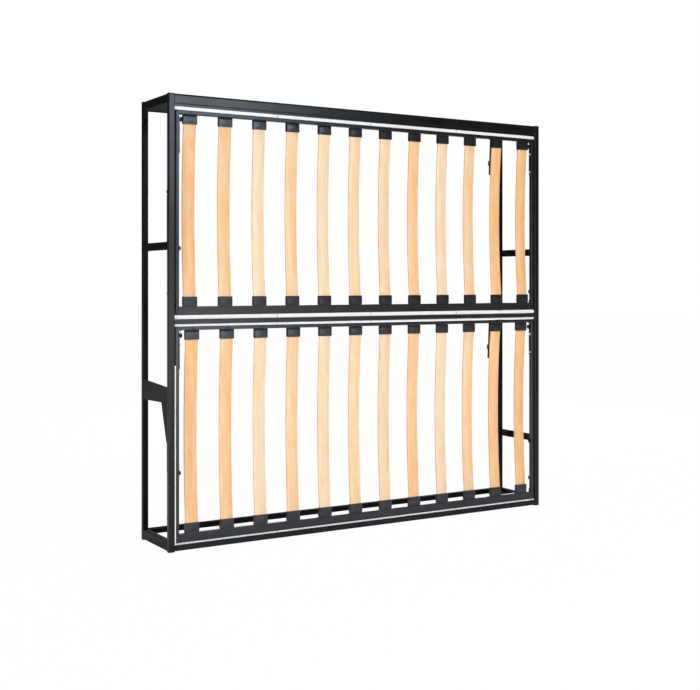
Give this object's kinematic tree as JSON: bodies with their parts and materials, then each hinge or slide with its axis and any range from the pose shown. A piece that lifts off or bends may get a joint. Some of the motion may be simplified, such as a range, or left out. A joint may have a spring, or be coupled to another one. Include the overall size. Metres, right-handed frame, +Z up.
{
  "type": "fold_down_wall_bed_mechanism",
  "caption": "Free-standing black steel stand with two horizontal fold-down single beds one above the other, folded up, with sprung beech slats, gas springs and locking knobs.",
  "frame": {"origin": "on the floor, in the middle of the stand's outline", "axes": "+X along the beds to the right as seen from the room, +Y from the room towards the wall, +Z up"},
  "size_m": [2.114, 0.33, 2.02],
  "materials": {
    "black_steel": "satin powder coat",
    "black_plastic": "moulded, satin",
    "beech": "clear lacquered laminated beech",
    "white_strip": "smooth white",
    "zinc": "bright zinc",
    "webbing": "woven webbing"
  },
  "bodies": {
    "stand": {"front_post_left": "black_steel", "front_post_right": "black_steel", "rear_post_left": "black_steel", "rear_post_right": "black_steel", "top_rail_front": "black_steel", "top_rail_rear": "black_steel", "top_rail_left": "black_steel", "top_rail_right": "black_steel", "mid_rail": "black_steel", "bottom_rail_front": "black_steel", "bottom_rail_rear": "black_steel", "bottom_rail_left": "black_steel", "bottom_rail_right": "black_steel", "cross_bar_upper_left": "black_steel", "cross_bar_upper_right": "black_steel", "cross_bar_lower_right": "black_steel", "gusset_plate": "black_steel", "post_plugs": "black_plastic", "foot_glides": "black_plastic", "opening_strips": "white_strip", "spring_anchors": "black_steel", "open_stops": "black_steel", "pivot_bushes": "black_plastic", "stand_bolts": "black_steel"},
    "upper_bed": {"upper_top_tube": "black_steel", "upper_bottom_tube": "black_steel", "upper_end_tube_left": "black_steel", "upper_end_tube_right": "black_steel", "upper_slats": "beech", "upper_slat_caps": "black_plastic", "upper_cap_rivets": "black_steel", "upper_lock_plates": "black_steel", "upper_lock_bolts": "zinc", "upper_pivot_pins": "black_steel", "upper_spring_studs": "black_steel", "upper_closed_stops": "black_steel", "upper_strap": "webbing", "upper_strap_buckle": "black_plastic"},
    "upper_lock_left": {"upper_lock_plunger_left": "black_plastic"},
    "upper_lock_right": {"upper_lock_plunger_right": "black_plastic"},
    "upper_cylinders": {"upper_spring_cylinders": "black_steel"},
    "upper_rods": {"upper_spring_rods": "zinc"},
    "lower_bed": {"lower_top_tube": "black_steel", "lower_bottom_tube": "black_steel", "lower_end_tube_left": "black_steel", "lower_end_tube_right": "black_steel", "lower_slats": "beech", "lower_slat_caps": "black_plastic", "lower_cap_rivets": "black_steel", "lower_lock_plates": "black_steel", "lower_lock_bolts": "zinc", "lower_pivot_pins": "black_steel", "lower_spring_studs": "black_steel", "lower_closed_stops": "black_steel", "lower_strap": "webbing", "lower_strap_buckle": "black_plastic"},
    "lower_lock_left": {"lower_lock_plunger_left": "black_plastic"},
    "lower_lock_right": {"lower_lock_plunger_right": "black_plastic"},
    "lower_cylinders": {"lower_spring_cylinders": "black_steel"},
    "lower_rods": {"lower_spring_rods": "zinc"}
  },
  "joints": [
    {"name": "upper_bed_fold", "type": "hinge", "parent": "stand", "child": "upper_bed", "pos_m": [0, -0.151, 1.3377], "axis": [1, 0, 0], "range_deg": [0, 90], "stiffness_Nm_per_rad": 8, "springref_deg": -11.46},
    {"name": "upper_lock_left_slide", "type": "slide", "parent": "upper_bed", "child": "upper_lock_left", "axis": [-1, 0, 0], "range_m": [0, 0.005]},
    {"name": "upper_lock_right_slide", "type": "slide", "parent": "upper_bed", "child": "upper_lock_right", "axis": [1, 0, 0], "range_m": [0, 0.005]},
    {"name": "upper_cylinder_swing", "type": "hinge", "parent": "stand", "child": "upper_cylinders", "pos_m": [0, -0.128, 1.5877], "axis": [1, 0, 0], "range_deg": [0, 38.1]},
    {"name": "upper_rod_stroke", "type": "slide", "parent": "upper_cylinders", "child": "upper_rods", "axis": [0, 0.0011, 1], "range_m": [0, 0.1621]},
    {"name": "lower_bed_fold", "type": "hinge", "parent": "stand", "child": "lower_bed", "pos_m": [0, -0.151, 0.3452], "axis": [1, 0, 0], "range_deg": [0, 90], "stiffness_Nm_per_rad": 8, "springref_deg": -11.46},
    {"name": "lower_lock_left_slide", "type": "slide", "parent": "lower_bed", "child": "lower_lock_left", "axis": [-1, 0, 0], "range_m": [0, 0.005]},
    {"name": "lower_lock_right_slide", "type": "slide", "parent": "lower_bed", "child": "lower_lock_right", "axis": [1, 0, 0], "range_m": [0, 0.005]},
    {"name": "lower_cylinder_swing", "type": "hinge", "parent": "stand", "child": "lower_cylinders", "pos_m": [0, -0.128, 0.5952], "axis": [1, 0, 0], "range_deg": [0, 38.1]},
    {"name": "lower_rod_stroke", "type": "slide", "parent": "lower_cylinders", "child": "lower_rods", "axis": [0, 0.0011, 1], "range_m": [0, 0.1621]}
  ],
  "couplings": [
    {"joint": "upper_cylinder_swing", "follows": "upper_bed_fold", "ratio": 0.42164},
    {"joint": "upper_rod_stroke", "follows": "upper_bed_fold", "m_per_rad": 0.10298},
    {"joint": "lower_cylinder_swing", "follows": "lower_bed_fold", "ratio": 0.42164},
    {"joint": "lower_rod_stroke", "follows": "lower_bed_fold", "m_per_rad": 0.10298}
  ]
}
